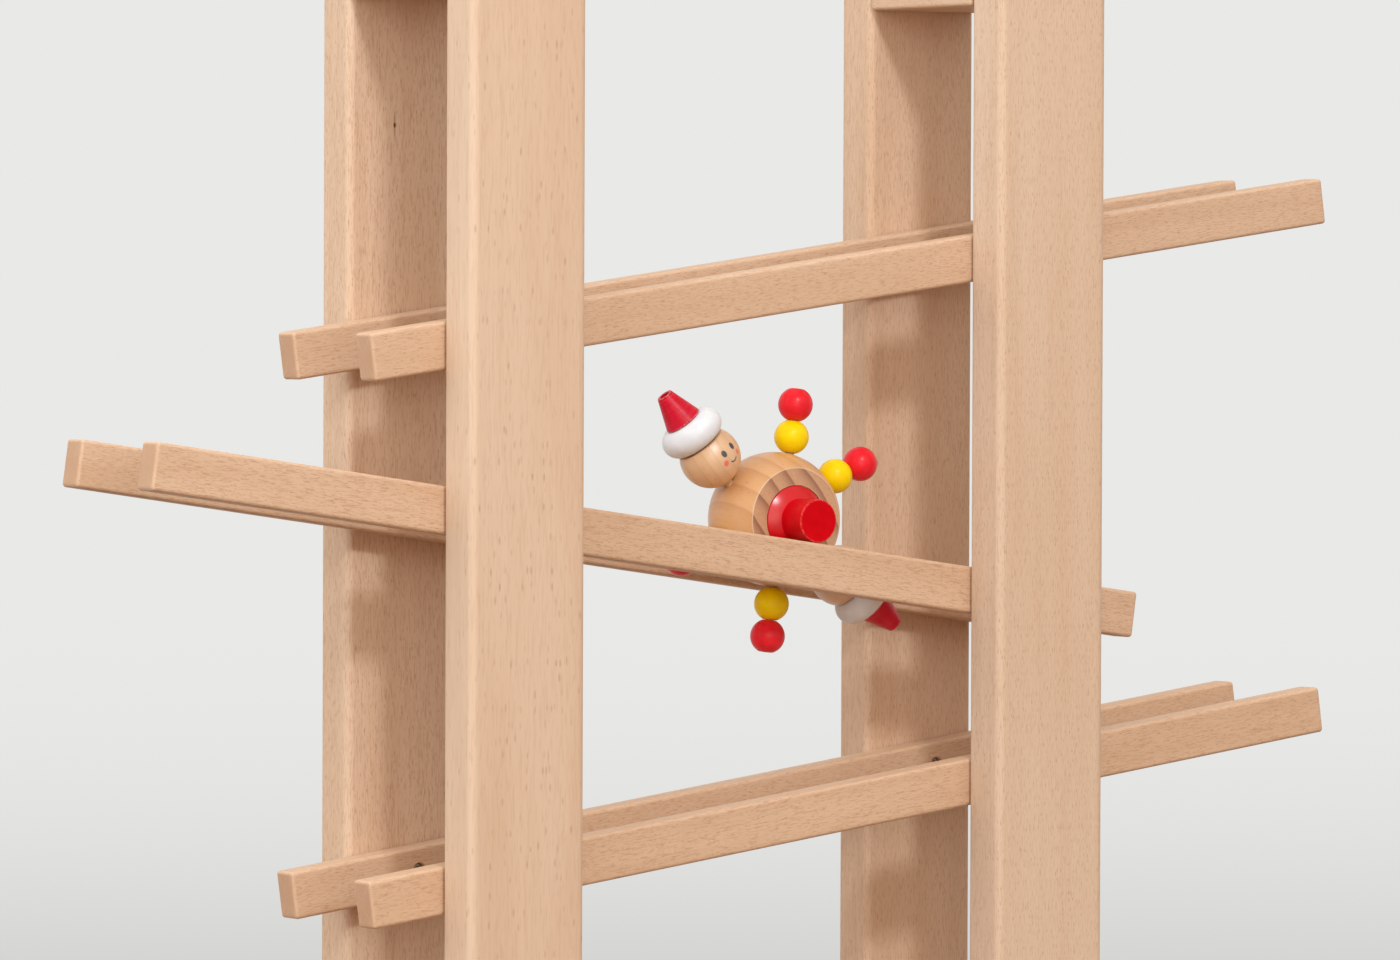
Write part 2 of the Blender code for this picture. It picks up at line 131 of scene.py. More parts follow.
def wood_grain_group():
    """Marks of beech at a position in millimetres, X along the grain.

    Rings rise with the distance from the pith, warped by slow noise, and fall back once per ring width.
    Fibres are noise drawn out along the grain, pores are the peaks of finer noise, tone is slow noise, and
    flecks are the cores of long Voronoi cells, kept where the cell's random value is below the fleck share.
    """
    group = bpy.data.node_groups.new("wood_grain", "ShaderNodeTree")
    for name, kind in (("Position", "Vector"), ("Pith", "Vector"), ("Ring Width", "Float"), ("Warp", "Float"),
                       ("Fleck Share", "Float")):
        group.interface.new_socket(name, in_out="INPUT", socket_type="NodeSocket" + kind)
    for name in ("Rings", "Fibres", "Pores", "Flecks", "Tone"):
        group.interface.new_socket(name, in_out="OUTPUT", socket_type="NodeSocketFloat")
    given = group.nodes.new("NodeGroupInput").outputs
    made = group.nodes.new("NodeGroupOutput").inputs
    place = given["Position"]
    slow = add_node(group, "ShaderNodeTexNoise", {"Vector": stretched(group, place, 0.006, 0.035), "Scale": 1.0,
                                                  "Detail": 2.0})
    shift = add_node(group, "ShaderNodeVectorMath", {0: slow.outputs["Color"], "Scale": given["Warp"]},
                     operation="SCALE").outputs[0]
    warped = add_node(group, "ShaderNodeVectorMath", {0: place, 1: shift}, operation="ADD").outputs[0]
    radial = add_node(group, "ShaderNodeVectorMath", {0: warped, 1: given["Pith"]},
                      operation="SUBTRACT").outputs[0]
    distance = add_node(group, "ShaderNodeVectorMath", {0: stretched(group, radial, 0.0, 1.0)},
                        operation="LENGTH").outputs["Value"]
    phase = maths(group, "FRACT", maths(group, "DIVIDE", distance, given["Ring Width"]))
    late = maths(group, "POWER", phase, 2.5)
    fall = ramp(group, phase, 0.9, 1.0, 1.0, 0.0)
    group.links.new(maths(group, "MULTIPLY", late, fall), made["Rings"])
    fibres = add_node(group, "ShaderNodeTexNoise", {"Vector": stretched(group, place, 0.04, 1.1), "Scale": 1.0,
                                                    "Detail": 4.0, "Roughness": 0.6})
    group.links.new(fibres.outputs[0], made["Fibres"])
    pores = add_node(group, "ShaderNodeTexNoise", {"Vector": stretched(group, place, 0.16, 1.7), "Scale": 1.0,
                                                   "Detail": 2.0})
    group.links.new(ramp(group, pores.outputs[0], 0.5, 0.65), made["Pores"])
    cells = add_node(group, "ShaderNodeTexVoronoi", {"Vector": stretched(group, place, 0.24, 0.78),
                                                     "Scale": 1.0})
    core = ramp(group, cells.outputs["Distance"], 0.12, 0.4, 1.0, 0.0)
    cell = add_node(group, "ShaderNodeSeparateColor", {0: cells.outputs["Color"]}).outputs
    kept = maths(group, "LESS_THAN", cell[0], given["Fleck Share"])
    strength = maths(group, "MULTIPLY_ADD", cell[1], 0.7, 0.3)
    group.links.new(maths(group, "MULTIPLY", maths(group, "MULTIPLY", core, kept), strength), made["Flecks"])
    tone = add_node(group, "ShaderNodeTexNoise", {"Vector": stretched(group, place, 0.004, 0.05), "Scale": 1.0,
                                                  "Detail": 3.0})
    group.links.new(tone.outputs[0], made["Tone"])
    return group


def knot_mask(tree):
    """A pin knot's mark: a dark drawn-out core, and a long faint tail of bent grain above and below it."""
    offset = mark_of(tree, "from_knot", "Vector")
    core, tail = (add_node(tree, "ShaderNodeVectorMath", {0: stretched(tree, offset, along, 1.0)},
                           operation="LENGTH").outputs["Value"] for along in (0.5, 0.08))
    return maths(tree, "MAXIMUM", ramp(tree, core, 0.4, 0.8, 1.0, 0.0), ramp(tree, tail, 0.2, 0.7, 0.45, 0.0))


def beech_material():
    """Oiled beech: pale pinkish wood with faint rings, short brown flecks and duller, darker end grain."""
    material, tree, shader = new_material("oiled_beech_planks")
    place = mark_of(tree, "grain_at", "Vector")
    ends = mark_of(tree, "end_grain")
    board = mark_of(tree, "board_tone")
    share = mark_of(tree, "fleck_share")
    grain = add_node(tree, "ShaderNodeGroup",
                     {"Position": place, "Pith": (0.0, 30.0, -62.0), "Ring Width": 7.0, "Warp": 16.0,
                      "Fleck Share": share}, node_tree=WOOD_GRAIN).outputs
    pale = blended(tree, board, srgb(217, 191, 168), srgb(212, 173, 140))
    deep = blended(tree, board, srgb(212, 184, 159), srgb(204, 163, 128))
    colour = blended(tree, ramp(tree, grain["Tone"], 0.35, 0.68), pale, deep)
    colour = blended(tree, maths(tree, "MULTIPLY", grain["Rings"], 0.1), colour, srgb(190, 143, 108))
    colour = blended(tree, ramp(tree, grain["Fibres"], 0.42, 0.75, 0.0, 0.1), colour, srgb(186, 140, 106))
    fine = maths(tree, "MULTIPLY", grain["Pores"], maths(tree, "MULTIPLY", share, 0.48))
    colour = blended(tree, fine, colour, srgb(172, 126, 94))
    colour = blended(tree, maths(tree, "MULTIPLY", grain["Flecks"], 0.34), colour, srgb(146, 95, 66))
    colour = blended(tree, knot_mask(tree), colour, srgb(98, 55, 28))
    colour = blended(tree, maths(tree, "MULTIPLY", ends, 0.62), colour, srgb(176, 134, 104))
    tree.links.new(colour, shader.inputs["Base Color"])
    tree.links.new(ramp(tree, grain["Fibres"], 0.3, 0.7, 0.46, 0.62), shader.inputs["Roughness"])
    height = maths(tree, "MULTIPLY_ADD", grain["Flecks"], -0.5, grain["Fibres"])
    bump = add_node(tree, "ShaderNodeBump", {"Strength": 0.25, "Distance": 0.00012, "Height": height})
    tree.links.new(bump.outputs[0], shader.inputs["Normal"])
    shader.inputs["IOR"].default_value = 1.4
    return material


def make_piece(name, grid, marks, material, body, nodes, wrapped=False):
    """Make a piece from a grid of points whose rows are closed rings, one after the other.

    A wrapped grid's last ring joins its first; else a point at the middle of the first and of the last
    ring closes the ends. Faces are turned outwards by the sign of the volume that they enclose. Marks
    are values at the points, kept as attributes of the mesh.
    """
    rows, columns = grid.shape[:2]
    points = grid.reshape(-1, 3)
    index = np.arange(rows * columns).reshape(rows, columns)
    lower = index if wrapped else index[:-1]
    upper = np.roll(index, -1, 0) if wrapped else index[1:]
    quads = np.stack((lower, np.roll(lower, -1, 1), np.roll(upper, -1, 1), upper), -1).reshape(-1, 4)
    fans = np.zeros((0, 3), int)
    if not wrapped:
        first, last = index[0], index[-1]
        caps = np.full(columns, rows * columns)
        fans = np.vstack((np.stack((caps, np.roll(first, -1), first), -1),
                          np.stack((caps + 1, last, np.roll(last, -1)), -1)))
        points = np.vstack((points, grid[0].mean(0), grid[-1].mean(0)))
    corners = points[np.vstack((quads[:, :3], quads[:, [0, 2, 3]], fans))]
    if np.einsum("ij,ij->", corners[:, 0], np.cross(corners[:, 1], corners[:, 2])) < 0:
        quads, fans = quads[:, ::-1], fans[:, ::-1]
    mesh = bpy.data.meshes.new(name)
    mesh.from_pydata(points.tolist(), [], quads.tolist() + fans.tolist())
    mesh.shade_smooth()
    for mark, values in marks.items():
        kind = "FLOAT_VECTOR" if values.ndim == 3 else "FLOAT"
        flat = values.reshape(rows * columns, -1)
        if not wrapped:
            flat = np.vstack((flat, values[0].mean(0), values[-1].mean(0)))
        layer = mesh.attributes.new(mark, kind, "POINT")
        layer.data.foreach_set("vector" if values.ndim == 3 else "value", flat.astype(np.float32).ravel())
    mesh.materials.append(material)
    piece = bpy.data.objects.new(name, mesh)
    bpy.context.scene.collection.objects.link(piece)
    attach(piece, body)
    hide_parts(*nodes)


def board_grid(size, edge, end_edge, holes=()):
    """Rings of a board along X, with width in Y and thickness in Z, and its end-grain mark.

    A ring's point is a point of the inner rectangle plus its outward direction times the edge radius.
    At an angle t of an end's rounding, that radius is less by end_edge times (1 - cos t), and X is further
    out by end_edge times sin t. Round each hole in the +Z face the grid's squares are drawn to circles,
    and the inner ones sink to the hole's depth.
    """
    length, width, thickness = size
    half = width / 2 - edge
    low = thickness / 2 - edge
    spread = np.linspace(-1, 1, HOLE_STEPS + 1)
    patch = SCREW_HOLE["patch"]
    face = np.concatenate(([-half, SUPPORT - half], spread * patch, [half - SUPPORT, half]))
    plain = np.array((half, half - SUPPORT, SUPPORT - half, -half))
    side = np.array((low, low - SUPPORT, SUPPORT - low, -low))
    turn = np.linspace(0, np.pi / 2, CORNER_STEPS + 1)[1:-1]
    core, out = [], []
    for along, centre, quarter in ((np.stack((face, np.full_like(face, low)), -1), (half, low), 0),
                                   (np.stack((np.full_like(side, half), side), -1), (half, -low), 1),
                                   (np.stack((plain, np.full_like(plain, -low)), -1), (-half, -low), 2),
                                   (np.stack((np.full_like(side, -half), -side), -1), (-half, low), 3)):
        angle = np.pi / 2 * (1 - quarter)
        flat = np.array((math.cos(angle), math.sin(angle)))
        core += [along, np.tile(centre, (turn.size, 1))]
        out += [np.tile(flat, (len(along), 1)), np.stack((np.cos(angle - turn), np.sin(angle - turn)), -1)]
    core = np.concatenate(core)
    out = np.concatenate(out)
    bend = np.linspace(0, np.pi / 2, CORNER_STEPS + 1)
    end_x = length / 2 - end_edge + end_edge * np.sin(bend)
    end_radius = edge - end_edge * (1 - np.cos(bend))
    stations = [np.array((SUPPORT - end_x[0], end_x[0] - SUPPORT))]
    stations += [centre + spread * patch for centre in holes]
    inner = np.sort(np.concatenate(stations))
    x = np.concatenate((-end_x[::-1], inner, end_x))
    radius = np.concatenate((end_radius[::-1], np.full(inner.size, edge), end_radius))
    ends = np.concatenate((np.sin(bend[::-1]), np.zeros(inner.size), np.sin(bend))) ** 4
    ring = core + out * radius[:, None, None]
    grid = np.concatenate((np.broadcast_to(x[:, None, None], (x.size, len(core), 1)), ring), -1)
    for centre in holes:
        start = CORNER_STEPS + 1 + np.searchsorted(inner, centre - patch - SUPPORT / 4)
        block = grid[start:start + HOLE_STEPS + 1, 2:HOLE_STEPS + 3]
        sink_hole(block, centre, spread)
    cap = grid[[0, -1]] * (1.0, END_RING, END_RING)
    grid = np.concatenate((cap[:1], grid, cap[1:]))
    ends = np.concatenate(([1.0], ends, [1.0]))
    return grid, np.broadcast_to(ends[:, None], grid.shape[:2])


def sink_hole(block, centre, spread):
    """Draw a square block of the grid to rings round a screw hole, and sink them.

    A point at (p, q) of the square lies on ring max(|p|, |q|); it goes out along (p, q) by the ring's reach
    times the hole's radius, plus its lip, except on the outermost ring, which stays square. It sinks by the
    ring's share of the hole's depth.
    """
    p, q = np.meshgrid(spread, spread, indexing="ij")
    reach = np.maximum(np.hypot(p, q), 1e-9)
    ring = np.rint(np.maximum(abs(p), abs(q)) * HOLE_STEPS / 2).astype(int)
    rim = np.array(HOLE_REACHES) * SCREW_HOLE["radius"] + np.array(HOLE_LIPS)
    depth = np.array(HOLE_DEPTHS) * SCREW_HOLE["depth"]
    circle = ring < HOLE_STEPS // 2
    block[..., 0] = np.where(circle, centre + p / reach * rim[ring], block[..., 0])
    block[..., 1] = np.where(circle, q / reach * rim[ring], block[..., 1])
    block[..., 2] -= depth[ring]


def place_of(along, across, face, centre):
    """Matrix of a piece's frame from its three axes and its centre."""
    place = np.eye(4)
    place[:3, :4] = np.stack((along, across, face, centre), -1)
    return place


def placed(grid, place):
    """Points of a piece's own frame carried to its place in the model."""
    return grid @ place[:3, :3].T + place[:3, 3]


def add_board(name, size, edge, end_edge, place, node, wood, holes=(), knot=NO_KNOT):
    """Make a board of the tower in its place, from a piece of wood with its own tone, flecks and fineness.

    The grain is read at the board's own points in millimetres, times the fineness, plus a random shift.
    """
    grid, ends = board_grid(size, edge, end_edge, holes)
    tone, share, fineness = wood
    shift = chance.uniform(*BOARD_SHIFTS)
    marks = {"grain_at": grid * MILLIMETRES * fineness + shift, "from_knot": (grid - knot) * MILLIMETRES,
             "end_grain": ends, "board_tone": np.full(grid.shape[:2], tone),
             "fleck_share": np.full(grid.shape[:2], share)}
    make_piece(name, placed(grid, place), marks, BEECH, "tower", [node])


WOOD_GRAIN = wood_grain_group()
BEECH = beech_material()
UPRIGHT_WOODS = {"front_left": (0.1, 0.3, 0.65), "front_right": (0.05, 0.55, 1.3),
                 "back_left": (0.25, 0.8, 1.2), "back_right": (0.3, 0.7, 1.2)}
for row, toward in ROWS.items():
    for column, side in COLUMNS.items():
        place = place_of((0, 0, 1), (1, 0, 0), (0, toward, 0),
                         (side * UPRIGHT_X, toward * UPRIGHT_Y, UPRIGHT_BASE + UPRIGHT_LENGTH / 2))
        add_board(f"plank_{row}_{column}", (UPRIGHT_LENGTH, UPRIGHT_WIDTH, UPRIGHT_THICKNESS), UPRIGHT_EDGE,
                  UPRIGHT_END_EDGE, place, f"upright_{row}_{column}", UPRIGHT_WOODS[f"{row}_{column}"],
                  [UPRIGHT_LENGTH / 2 - SPACER_SCREW_DROP],
                  PIN_KNOT if (row, column) == ("back", "left") else NO_KNOT)

# Feet: two thick beech blocks across the tower, each with housings for a front and a back plank.
# Their flat undersides stand on the floor.
FOOT_SIZE = (0.220, 0.074, 0.026)
FOOT_EDGE = 0.003
FOOT_WOOD = (0.4, 0.6, 1.0)
for column, side in COLUMNS.items():
    place = place_of((0, 1, 0), (1, 0, 0), (0, 0, 1), (side * UPRIGHT_X, 0, FOOT_SIZE[2] / 2))
    add_board(f"foot_block_{column}", FOOT_SIZE, FOOT_EDGE, FOOT_EDGE, place, f"foot_{column}", FOOT_WOOD)

# Top spacers: two thin beech boards that hold the front and back planks apart.
# Screws through the planks pull into their end grain.
SPACER_SIZE = (0.076, 0.056, 0.013)
SPACER_EDGE = 0.0015
SPACER_Z = 0.5795
SPACER_WOOD = (0.5, 0.6, 1.2)
for column, side in COLUMNS.items():
    place = place_of((0, 1, 0), (1, 0, 0), (0, 0, 1), (side * UPRIGHT_X, 0, SPACER_Z))
    add_board(f"spacer_board_{column}", SPACER_SIZE, SPACER_EDGE, SPACER_EDGE, place, f"top_spacer_{column}",
              SPACER_WOOD)

# Rails: planed beech strips, two to a track, screwed to the planks' inner faces through sunk holes.
# A track's low end stops just past the planks, and its high end reaches well beyond them.
TRACK_HEIGHTS = (0.459, 0.346, 0.233, 0.120)
TRACK_SLOPE = math.radians(8)
RAIL_SECTION = (0.020, 0.013)
RAIL_EDGE = 0.0015
RAIL_Y = 0.0315
RAIL_LOW, RAIL_HIGH = 0.1979, 0.29888
RAIL_WOODS = ((0.45, 0.85, 1.5), (0.5, 0.95, 1.6), (0.55, 0.85, 1.5), (0.6, 0.85, 1.5))
for track, height in enumerate(TRACK_HEIGHTS):
    side = 1 if track % 2 == 0 else -1
    along = np.array((math.cos(TRACK_SLOPE), 0, side * math.sin(TRACK_SLOPE)))
    lift = np.array((-along[2], 0, along[0]))
    middle = side * (RAIL_HIGH - RAIL_LOW) / 2
    screws = [(reach * UPRIGHT_X + lift[0] * RAIL_SECTION[0] / 2) / along[0] - middle for reach in (-1, 1)]
    for row, toward in ROWS.items():
        centre = np.array((0, toward * RAIL_Y, height)) + middle * along - lift * RAIL_SECTION[0] / 2
        place = place_of(along, lift, (0, -toward, 0), centre)
        add_board(f"track_rail_{track + 1}_{row}", (RAIL_LOW + RAIL_HIGH, *RAIL_SECTION), RAIL_EDGE, RAIL_EDGE,
                  place, f"rail_{track + 1}_{row}", RAIL_WOODS[track], screws)

# Screws: zinc-plated countersunk wood screws with a cross recess, sunk below the wood's face.
# Those of the rails face inwards between the rails, and those of the spacers face outwards.
RAIL_SCREW_LENGTH, SPACER_SCREW_LENGTH = 0.0273, 0.0433
SCREW_HEAD, SCREW_SHANK, SCREW_POINT = 0.0030, 0.00175, 0.0002
SCREW_EDGE, SCREW_RIM, SCREW_CONE, SCREW_TIP = 0.0001, 0.0006, 0.0028, 0.003
SCREW_RECESS = 0.002
CROSS_ARM, CROSS_WIDTH, CROSS_DEPTH, CROSS_LIP = 0.0019, 0.00045, 0.0012, 0.00005
CROSS_RINGS = ((0.35, -CROSS_DEPTH), (0.85, -CROSS_DEPTH), (1.0, -CROSS_LIP), (1.04, 0.0))
SCREW_COLUMNS = 64


def screw_grid(length):
    """Rings of a screw along Z, its head's top at zero.

    The inner rings follow the cross: at an angle t from the nearest arm, the cross reaches the lesser of
    arm / cos t and width / sin t. The outer rings are circles of the head, the cone, the shank and the tip.
    """
    angle = np.arange(SCREW_COLUMNS) * 2 * np.pi / SCREW_COLUMNS
    arm = (angle + np.pi / 4) % (np.pi / 2) - np.pi / 4
    cross = np.minimum(CROSS_ARM / np.cos(arm), CROSS_WIDTH / np.maximum(abs(np.sin(arm)), 1e-6))
    profile = ((SCREW_HEAD - SCREW_EDGE, 0), (SCREW_HEAD, -SCREW_EDGE), (SCREW_HEAD, -SCREW_RIM),
               (SCREW_SHANK, -SCREW_CONE), (SCREW_SHANK, SCREW_TIP - length), (SCREW_POINT, -length))
    inner = [(share * cross, np.full(SCREW_COLUMNS, height)) for share, height in CROSS_RINGS]
    outer = [(np.full(SCREW_COLUMNS, radius), np.full(SCREW_COLUMNS, height)) for radius, height in profile]
    radius, height = np.array(inner + outer).transpose(1, 0, 2)
    return np.stack((radius * np.cos(angle), radius * np.sin(angle), height), -1)


def steel_material():
    """Zinc-plated steel: grey metal with a mottled, slightly dull skin."""
    material, tree, shader = new_material("zinc_screw_steel")
    place = add_node(tree, "ShaderNodeTexCoord").outputs["Object"]
    mottle = add_node(tree, "ShaderNodeTexNoise", {"Vector": place, "Scale": 900.0, "Detail": 3.0}).outputs[0]
    tree.links.new(blended(tree, mottle, srgb(120, 112, 100), srgb(176, 170, 158)), shader.inputs["Base Color"])
    tree.links.new(ramp(tree, mottle, 0.3, 0.7, 0.32, 0.5), shader.inputs["Roughness"])
    shader.inputs["Metallic"].default_value = 1.0
    return material


STEEL = steel_material()
for row, toward in ROWS.items():
    for column, side in COLUMNS.items():
        for track, height in enumerate(TRACK_HEIGHTS):
            slope = (1 if track % 2 == 0 else -1) * math.tan(TRACK_SLOPE)
            z = height + side * UPRIGHT_X * slope - RAIL_SECTION[0] / 2 / math.cos(TRACK_SLOPE)
            head = (side * UPRIGHT_X, toward * (RAIL_Y - RAIL_SECTION[1] / 2 + SCREW_RECESS), z)
            place = place_of((1, 0, 0), (0, 0, 1), (0, -toward, 0), head)
            which = f"{track + 1}_{row}_{column}"
            make_piece(f"wood_screw_{which}", placed(screw_grid(RAIL_SCREW_LENGTH), place), {}, STEEL,
                       "tower", [f"rail_screw_{which}"])
        head = (side * UPRIGHT_X, toward * (UPRIGHT_Y + UPRIGHT_THICKNESS / 2 - SCREW_RECESS), SPACER_Z)
        place = place_of((1, 0, 0), (0, 0, 1), (0, toward, 0), head)
        make_piece(f"top_screw_{row}_{column}", placed(screw_grid(SPACER_SCREW_LENGTH), place), {}, STEEL,
                   "tower", [f"spacer_screw_{row}_{column}"])

# Barrel: the figure's body, turned from one block of wood with its end grain on the two flat faces.
# Clear lacquer brings out wide growth rings; the axle and all dowels are glued into it.
AXLE = np.array(next(joint for joint in frame["joints"] if joint["name"] == "figure_roll")["pos_m"])
BARREL_RADIUS = 0.029
BARREL_HALF = 0.0171
BARREL_CROWN = 0.0065
BARREL_CENTRE = 0.003
BARREL_ROUNDINGS = (0.0001, 0.0002, 0.0004)
RECESS_RADIUS, HUB_RECESS = 0.01505, 0.0008
FACE_MARGIN = 0.0002
PLAIN_POLISH = 0.15
TURNED_COLUMNS = 96
ROUND_STEPS = 6
BULGE_STEPS = 40
BESIDE = 0.4
TURNED_SHIFTS = ((0, -3, -3), (900, 3, 3))


def turned_profile(corners, radii):
    """Points of a turned outline with its corners rounded, and a mark that is 1 on the roundings.

    At a corner of turn a, the arc of a radius r starts r tan(a / 2) before the corner; its points are the
    arc's centre plus r times a direction that turns evenly from one side's normal to the other's. A point
    beside each end of the arc, a share of r away, keeps the flat sides flat.
    """
    corners = np.asarray(corners, float)
    points, rims = [corners[:1]], [np.zeros(1)]
    for before, corner, after, radius in zip(corners, corners[1:], corners[2:], radii):
        first = (corner - before) / np.linalg.norm(corner - before)
        second = (after - corner) / np.linalg.norm(after - corner)
        turn = math.atan2(first[0] * second[1] - first[1] * second[0], first @ second)
        cut = radius * math.tan(abs(turn) / 2)
        hand = math.copysign(1, turn)
        centre = corner - first * cut + hand * radius * np.array((-first[1], first[0]))
        spin = np.linspace(0, turn, ROUND_STEPS + 1)
        normal = hand * np.array((first[1], -first[0]))
        arc = centre + radius * np.stack((normal[0] * np.cos(spin) - normal[1] * np.sin(spin),
                                          normal[0] * np.sin(spin) + normal[1] * np.cos(spin)), -1)
        points.append(np.vstack((arc[0] - first * radius * BESIDE, arc, arc[-1] + second * radius * BESIDE)))
        rims.append(np.pad(np.ones(ROUND_STEPS + 1), 1))
    points.append(corners[-1:])
    rims.append(np.zeros(1))
    return np.concatenate(points), np.concatenate(rims)


def turned_grid(profile):
    """Rings of a turned shape about Z: each (radius, height) carried round by every angle t."""
    angle = np.arange(TURNED_COLUMNS) * 2 * np.pi / TURNED_COLUMNS
    radius, height = np.asarray(profile).T[:, :, None]
    return np.stack((radius * np.cos(angle), radius * np.sin(angle), height + 0 * angle), -1)


def arc_points(centre, radius, start, end, count):
    """Points of an arc about a centre, from one angle to another."""
    angle = np.linspace(start, end, count + 1)
    return np.asarray(centre) + radius * np.stack((np.cos(angle), np.sin(angle)), -1)


def add_turned(name, profile, rims, place, node, material, extra=None, wrapped=False):
    """Make a turned piece of the figure in its place, with its own stretch of grain along the turning axis."""
    grid = turned_grid(profile)
    shift = chance.uniform(*TURNED_SHIFTS)
    marks = {"grain_at": grid[..., [2, 0, 1]] * MILLIMETRES + shift,
             "rim": np.broadcast_to(np.asarray(rims)[:, None], grid.shape[:2]),
             "polish": np.full(grid.shape[:2], PLAIN_POLISH)}
    if extra:
        marks.update(extra(grid))
    make_piece(name, placed(grid, place), marks, material, "figure", [node], wrapped)


def turned_wood(name, pith, ring_width, light, dark, end_dark, coat):
    """Clear-lacquered turned wood: rings as warm bands, fine fibres, and darker end grain where a mark says."""
    material, tree, shader = new_material(name)
    place = mark_of(tree, "grain_at", "Vector")
    ends = mark_of(tree, "end_grain")
    rims = mark_of(tree, "rim")
    grain = add_node(tree, "ShaderNodeGroup", {"Position": place, "Pith": pith, "Ring Width": ring_width,
                                               "Warp": 5.0, "Fleck Share": 0.12}, node_tree=WOOD_GRAIN).outputs
    side = blended(tree, maths(tree, "MULTIPLY", grain["Rings"], 0.85), light, dark)
    side = blended(tree, ramp(tree, grain["Fibres"], 0.45, 0.75, 0.0, 0.25), side, dark)
    end = blended(tree, maths(tree, "MULTIPLY", grain["Rings"], 1.3), srgb(199, 155, 118), end_dark)
    end = blended(tree, ramp(tree, grain["Fibres"], 0.45, 0.7, 0.0, 0.3), end, end_dark)
    colour = blended(tree, ends, side, end)
    colour = blended(tree, maths(tree, "MULTIPLY", grain["Flecks"], 0.35), colour, srgb(140, 92, 60))
    # Painted highlight: the rounded edges that the rim mark picks out are mixed towards a pale tan.
    colour = blended(tree, maths(tree, "MULTIPLY", rims, 0.55), colour, srgb(238, 208, 172))
    tree.links.new(colour, shader.inputs["Base Color"])
    tree.links.new(ramp(tree, grain["Fibres"], 0.3, 0.7, 0.36, 0.5), shader.inputs["Roughness"])
    bump = add_node(tree, "ShaderNodeBump", {"Strength": 0.15, "Distance": 0.0001, "Height": grain["Fibres"]})
    tree.links.new(bump.outputs[0], shader.inputs["Normal"])
    shader.inputs["Coat Weight"].default_value = coat
    shader.inputs["Coat Roughness"].default_value = 0.3
    return material


side_radius = (BARREL_HALF ** 2 + BARREL_CROWN ** 2) / (2 * BARREL_CROWN)
side_angle = math.atan2(BARREL_HALF, side_radius - BARREL_CROWN)
bulge = arc_points((BARREL_RADIUS - side_radius, 0), side_radius, side_angle, -side_angle, BULGE_STEPS)
edge, edge_rim = turned_profile(
    ((BARREL_CENTRE, BARREL_HALF - HUB_RECESS), (RECESS_RADIUS, BARREL_HALF - HUB_RECESS),
     (RECESS_RADIUS, BARREL_HALF), bulge[0], bulge[2]), BARREL_ROUNDINGS)
belly = bulge[2:-2]
barrel = np.vstack((edge[:-1], belly, (edge * (1, -1))[-2::-1]))
barrel_rim = np.concatenate((edge_rim[:-1], np.zeros(len(belly)), edge_rim[-2::-1]))
BARREL_PLACE = place_of((1, 0, 0), (0, 0, 1), (0, -1, 0), AXLE)
BARREL_WOOD = turned_wood("barrel_wood", (0.0, -76.5, -47.4), 8.5, srgb(214, 164, 115), srgb(192, 135, 85),
                          srgb(146, 98, 72), 0.5)


def barrel_marks(grid):
    """Mark of the barrel's end grain, which is 1 on both faces and in the hubs' recesses."""
    inside = np.hypot(grid[..., 0], grid[..., 1]) < RECESS_RADIUS + FACE_MARGIN
    return {"end_grain": (inside | (abs(grid[..., 2]) > BARREL_HALF - FACE_MARGIN)).astype(float)}


add_turned("barrel_body", barrel, barrel_rim, BARREL_PLACE, "barrel", BARREL_WOOD,
           barrel_marks)

# Axle: a dowel through the barrel, and on each side a red turned end with a domed hub and a long peg.
# The hubs sit in the barrel's recesses; the pegs roll on the rails, so their lacquer is matt, and thin at
# the edges, which are also paler as a painted highlight. The dowels of axle, limbs and necks are bare wood and
# keep the imported model's shapes.
HUB_RADIUS, HUB_RIM, HUB_DOME_RADIUS = 0.01475, 0.0003, 0.027
PEG_RADIUS, PEG_LENGTH, PEG_MARGIN = 0.00925, 0.0177, 0.0001
PEG_ROUNDINGS = (0.0001, 0.0005)
HUB_SEAT = 0.0166
HUB_POLISH, PEG_POLISH = 0.9, 0.2
CENTRE_RING = 0.0005
DOME_STEPS = 16


def lacquer_group():
    """Marks of a lacquered turned piece at a position in millimetres, X along the turning axis.

    Tone is slow noise. Lathe is noise of the axis position alone, so it makes fine rings. The edge mark is
    high where the mark of a rounded edge, broken by noise, is high: thin paint and a painted highlight there.
    """
    group = bpy.data.node_groups.new("lacquer_skin", "ShaderNodeTree")
    group.interface.new_socket("Position", in_out="INPUT", socket_type="NodeSocketVector")
    group.interface.new_socket("Rim", in_out="INPUT", socket_type="NodeSocketFloat")
    for name in ("Tone", "Lathe", "Thin And Sheen"):
        group.interface.new_socket(name, in_out="OUTPUT", socket_type="NodeSocketFloat")
    given = group.nodes.new("NodeGroupInput").outputs
    made = group.nodes.new("NodeGroupOutput").inputs
    tone = add_node(group, "ShaderNodeTexNoise", {"Vector": given["Position"], "Scale": 0.25, "Detail": 3.0})
    group.links.new(tone.outputs[0], made["Tone"])
    lines = add_node(group, "ShaderNodeTexNoise", {"Vector": stretched(group, given["Position"], 2.2, 0.02),
                                                   "Scale": 1.0, "Detail": 3.0})
    group.links.new(lines.outputs[0], made["Lathe"])
    breaks = add_node(group, "ShaderNodeTexNoise", {"Vector": given["Position"], "Scale": 1.4, "Detail": 2.0})
    broken = ramp(group, breaks.outputs[0], 0.35, 0.65)
    group.links.new(maths(group, "MULTIPLY", given["Rim"], broken), made["Thin And Sheen"])
    return group


